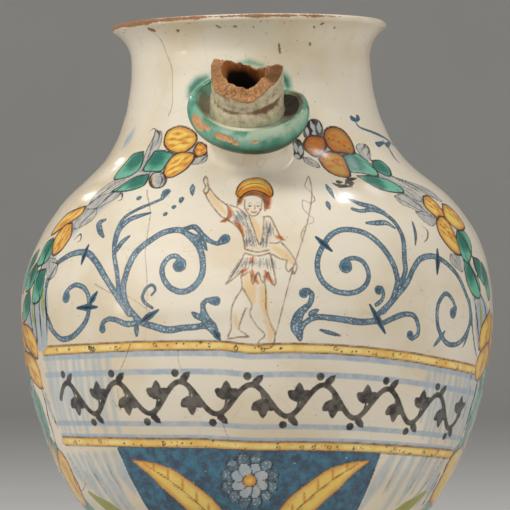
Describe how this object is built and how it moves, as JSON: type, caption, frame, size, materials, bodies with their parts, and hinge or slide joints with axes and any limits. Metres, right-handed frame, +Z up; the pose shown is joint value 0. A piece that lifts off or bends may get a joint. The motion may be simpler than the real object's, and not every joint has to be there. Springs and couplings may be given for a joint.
{
  "type": "wet drug jar",
  "caption": "Ovoid tin-glazed pottery jar with a flared neck, a spout with a dished collar, broken off short, and a strap handle; holds and pours syrups.",
  "frame": {"origin": "centre of the underside of the foot, on the surface that the jar stands on", "axes": "+Z up along the axis of the jar, -Y towards the spout, +Y towards the handle, +X to the right as seen from the spout side"},
  "size_m": [0.196, 0.196, 0.2445],
  "materials": {
    "tin_glaze": "glossy crazed cream tin glaze with painted ornament",
    "worn_glaze": "worn, stained glaze with bare clay on the broken edge",
    "green_glaze": "glossy copper-green glaze, chipped"
  },
  "bodies": {
    "root": {"foot": "tin_glaze", "lower_body": "tin_glaze", "shoulder": "tin_glaze", "neck": "tin_glaze", "spout_stem": "worn_glaze", "spout_collar": "green_glaze", "strap_handle": "tin_glaze"}
  },
  "joints": []
}
